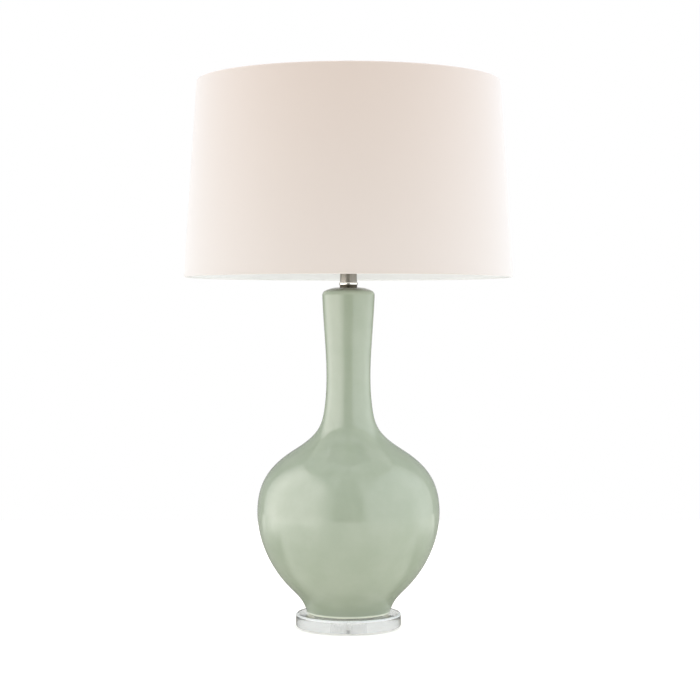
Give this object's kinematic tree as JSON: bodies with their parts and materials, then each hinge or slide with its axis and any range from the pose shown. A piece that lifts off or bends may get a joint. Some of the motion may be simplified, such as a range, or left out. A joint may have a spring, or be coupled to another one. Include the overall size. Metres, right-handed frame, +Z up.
{
  "type": "table lamp",
  "caption": "Table lamp with a glazed long-necked vase body on a clear disc, a harp and bulb socket inside, and a tapered drum shade of pale cloth held by a finial.",
  "frame": {"origin": "on the table, under the middle of the clear disc", "axes": "+Z up along the lamp's axis; -Y is the front, where the switch key points; +X is to the right seen from the front"},
  "size_m": [0.4276, 0.4276, 0.711],
  "materials": {
    "clear_acrylic": "polished clear acrylic",
    "clear_pad": "soft clear pad",
    "green_glaze": "glossy sage green glaze",
    "brushed_nickel": "brushed nickel plate",
    "nickel_wire": "nickel plated wire and strip",
    "zinc_steel": "zinc plated steel",
    "contact_brass": "plain brass",
    "bulb_cap_metal": "bright aluminium",
    "black_moulding": "black moulded insulator",
    "liner_card": "waxed insulating card",
    "frosted_glass": "white frosted glass",
    "shade_cloth": "fine off-white weave",
    "liner_sheet": "white styrene sheet",
    "white_wire": "white coated wire"
  },
  "bodies": {
    "stand": {"acrylic_base": "clear_acrylic", "bumper_pads": "clear_pad", "lamp_pipe": "zinc_steel", "pipe_washer": "zinc_steel", "pipe_nut": "zinc_steel", "vase_body": "green_glaze", "cord_bushing": "clear_pad", "neck_rings": "brushed_nickel", "lamp_neck": "brushed_nickel", "harp_saddle": "nickel_wire", "harp_wire": "nickel_wire", "socket_cap": "brushed_nickel", "cap_set_screw": "zinc_steel", "socket_shell": "brushed_nickel", "socket_liner": "liner_card", "socket_body": "black_moulding", "terminal_screws": "contact_brass", "screw_shell": "contact_brass", "centre_contact": "contact_brass"},
    "switch": {"switch_shaft": "contact_brass", "switch_key": "brushed_nickel"},
    "bulb": {"bulb_tip": "zinc_steel", "bulb_insulator": "black_moulding", "bulb_cap": "bulb_cap_metal", "bulb_glass": "frosted_glass", "bulb_stem": "frosted_glass", "bulb_filament": "zinc_steel"},
    "sleeve_left": {"harp_sleeve_left": "nickel_wire"},
    "sleeve_right": {"harp_sleeve_right": "nickel_wire"},
    "swivel": {"harp_stud": "nickel_wire"},
    "shade": {"shade_cover": "shade_cloth", "shade_liner": "liner_sheet", "shade_top_ring": "white_wire", "shade_bottom_ring": "white_wire", "spider_washer": "brushed_nickel", "spider_arms": "nickel_wire"},
    "finial_knob": {"finial": "brushed_nickel"}
  },
  "joints": [
    {"name": "switch_turn", "type": "hinge", "parent": "stand", "child": "switch", "pos_m": [0, -0.02, 0.5001], "axis": [0, -1, 0], "continuous": true},
    {"name": "bulb_out", "type": "slide", "parent": "stand", "child": "bulb", "axis": [0, 0, 1], "range_m": [0, 0.04]},
    {"name": "sleeve_left_slide", "type": "slide", "parent": "stand", "child": "sleeve_left", "axis": [0, 0, 1], "range_m": [0, 0.012]},
    {"name": "sleeve_right_slide", "type": "slide", "parent": "stand", "child": "sleeve_right", "axis": [0, 0, 1], "range_m": [0, 0.012]},
    {"name": "shade_swivel", "type": "hinge", "parent": "stand", "child": "swivel", "pos_m": [0, 0, 0.679], "axis": [0, 0, 1], "continuous": true},
    {"name": "shade_lift", "type": "slide", "parent": "swivel", "child": "shade", "axis": [0, 0, 1], "range_m": [0, 0.27]},
    {"name": "finial_turn", "type": "hinge", "parent": "shade", "child": "finial_knob", "pos_m": [0, 0, 0.69], "axis": [0, 0, 1], "continuous": true}
  ]
}
